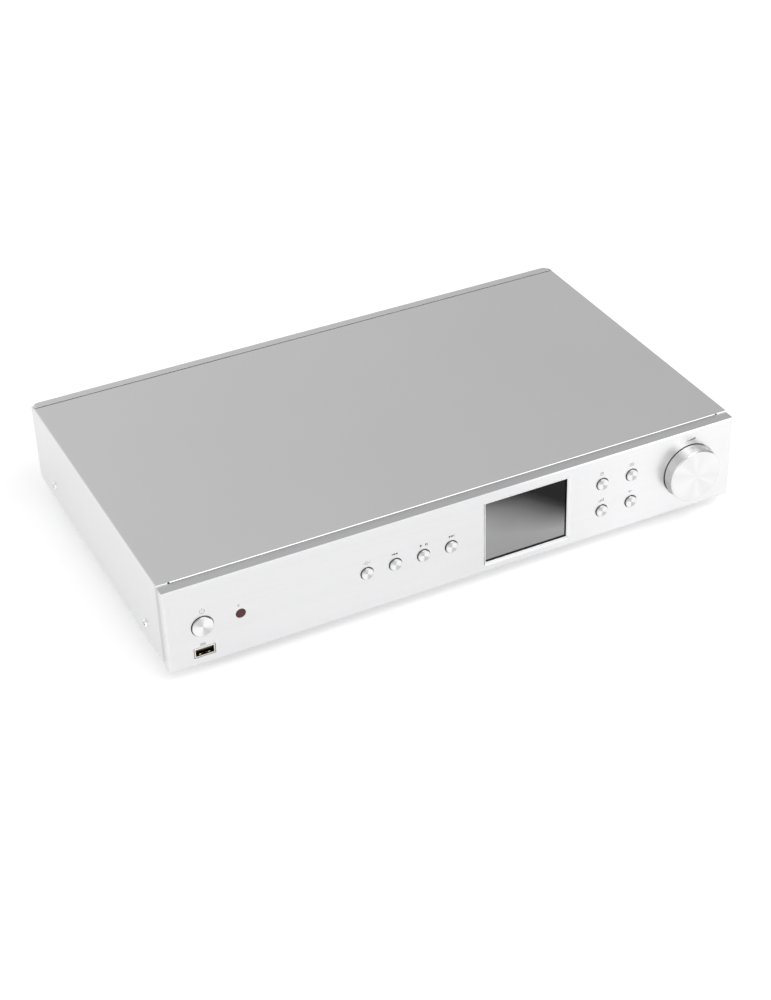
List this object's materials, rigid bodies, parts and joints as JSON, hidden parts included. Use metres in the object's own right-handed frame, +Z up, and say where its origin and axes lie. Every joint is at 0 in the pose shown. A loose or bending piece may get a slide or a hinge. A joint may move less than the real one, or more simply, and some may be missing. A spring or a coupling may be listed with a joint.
{
  "type": "internet radio",
  "caption": "Low wide internet radio with a brushed aluminium front, colour display, round push buttons, large volume knob, folded steel case and hinged wireless aerial.",
  "frame": {"origin": "middle of the footprint, on the floor under the foot pads", "axes": "front panel faces -Y, +X to the right as seen from the front, +Z up"},
  "size_m": [0.4336, 0.297, 0.073],
  "materials": {
    "face_aluminium": "fine brushed, clear anodised",
    "button_aluminium": "spun faces, clear anodised",
    "case_paint": "silver grey, satin",
    "screw_steel": "bright zinc",
    "foot_plastic": "moulded",
    "foot_rubber": "soft, matt",
    "clear_window": "polished",
    "red_window": "polished, dark red",
    "screen": "polished, dark",
    "black_plastic": "fine grained",
    "jack_red": "moulded",
    "board_laminate": "solder mask",
    "bright_steel": "bright plated",
    "core_steel": "varnished laminations",
    "winding": "yellow tape over the winding",
    "can_sleeve": "shrunk sleeve",
    "sink_aluminium": "dark anodised",
    "brass_plate": "gilt",
    "cable": "soft insulation",
    "aerial_plastic": "satin"
  },
  "bodies": {
    "case": {"front_panel": "face_aluminium", "top_cover": "case_paint", "chassis_tray": "case_paint", "rear_panel": "case_paint", "case_screws": "screw_steel", "board_screws": "screw_steel", "feet": "foot_plastic", "foot_pads": "foot_rubber", "display_window": "clear_window", "infrared_window": "red_window", "display_screen": "screen", "display_bezel": "black_plastic", "display_holder": "black_plastic", "button_guides": "black_plastic", "tact_switches": "black_plastic", "usb_tongue": "black_plastic", "mains_inlet": "black_plastic", "line_block": "black_plastic", "network_socket": "black_plastic", "board_headers": "black_plastic", "infrared_sensor": "black_plastic", "main_chips": "black_plastic", "line_inserts": "jack_red", "switch_board": "board_laminate", "display_board": "board_laminate", "main_board": "board_laminate", "supply_board": "board_laminate", "usb_shell": "bright_steel", "radio_module": "bright_steel", "encoder_body": "bright_steel", "encoder_nut": "bright_steel", "inlet_pins": "bright_steel", "board_spacers": "bright_steel", "transformer_core": "core_steel", "transformer_coil": "winding", "capacitors": "can_sleeve", "heat_sink": "sink_aluminium", "line_sleeves": "brass_plate", "aerial_sockets": "brass_plate", "socket_nuts": "brass_plate", "antenna_nut": "brass_plate", "ribbon_cable": "cable", "mains_leads": "cable", "antenna_lead": "cable"},
    "encoder_pusher": {"encoder_pusher": "black_plastic"},
    "knob": {"volume_knob": "face_aluminium", "knob_insert": "black_plastic", "encoder_shaft": "bright_steel"},
    "antenna_base": {"antenna_base": "aerial_plastic", "antenna_pin": "bright_steel"},
    "antenna_mast": {"antenna_mast": "aerial_plastic"},
    "power_button": {"power_button": "button_aluminium"},
    "mode_button": {"mode_button": "button_aluminium"},
    "previous_button": {"previous_button": "button_aluminium"},
    "play_button": {"play_button": "button_aluminium"},
    "next_button": {"next_button": "button_aluminium"},
    "alarm_button": {"alarm_button": "button_aluminium"},
    "menu_button": {"menu_button": "button_aluminium"},
    "preset_button": {"preset_button": "button_aluminium"},
    "back_button": {"back_button": "button_aluminium"}
  },
  "joints": [
    {"name": "power_button_press", "type": "slide", "parent": "case", "child": "power_button", "axis": [0, 1, 0], "range_m": [0, 0.0006], "stiffness_N_per_m": 2500, "springref_m": -0.0002},
    {"name": "mode_button_press", "type": "slide", "parent": "case", "child": "mode_button", "axis": [0, 1, 0], "range_m": [0, 0.0006], "stiffness_N_per_m": 2500, "springref_m": -0.0002},
    {"name": "previous_button_press", "type": "slide", "parent": "case", "child": "previous_button", "axis": [0, 1, 0], "range_m": [0, 0.0006], "stiffness_N_per_m": 2500, "springref_m": -0.0002},
    {"name": "play_button_press", "type": "slide", "parent": "case", "child": "play_button", "axis": [0, 1, 0], "range_m": [0, 0.0006], "stiffness_N_per_m": 2500, "springref_m": -0.0002},
    {"name": "next_button_press", "type": "slide", "parent": "case", "child": "next_button", "axis": [0, 1, 0], "range_m": [0, 0.0006], "stiffness_N_per_m": 2500, "springref_m": -0.0002},
    {"name": "alarm_button_press", "type": "slide", "parent": "case", "child": "alarm_button", "axis": [0, 1, 0], "range_m": [0, 0.0006], "stiffness_N_per_m": 2500, "springref_m": -0.0002},
    {"name": "menu_button_press", "type": "slide", "parent": "case", "child": "menu_button", "axis": [0, 1, 0], "range_m": [0, 0.0006], "stiffness_N_per_m": 2500, "springref_m": -0.0002},
    {"name": "preset_button_press", "type": "slide", "parent": "case", "child": "preset_button", "axis": [0, 1, 0], "range_m": [0, 0.0006], "stiffness_N_per_m": 2500, "springref_m": -0.0002},
    {"name": "back_button_press", "type": "slide", "parent": "case", "child": "back_button", "axis": [0, 1, 0], "range_m": [0, 0.0006], "stiffness_N_per_m": 2500, "springref_m": -0.0002},
    {"name": "knob_push", "type": "slide", "parent": "case", "child": "encoder_pusher", "axis": [0, 1, 0], "range_m": [0, 0.0005], "stiffness_N_per_m": 4000, "springref_m": -0.0003},
    {"name": "knob_turn", "type": "hinge", "parent": "encoder_pusher", "child": "knob", "pos_m": [0.179, -0.1434, 0.04], "axis": [0, 1, 0], "continuous": true},
    {"name": "antenna_swivel", "type": "hinge", "parent": "case", "child": "antenna_base", "pos_m": [0.184, 0.1344, 0.047], "axis": [0, 1, 0], "range_deg": [0, 180]},
    {"name": "antenna_fold", "type": "hinge", "parent": "antenna_base", "child": "antenna_mast", "pos_m": [0.184, 0.14325, 0.047], "axis": [0, 0, 1], "range_deg": [-90, 0]}
  ]
}
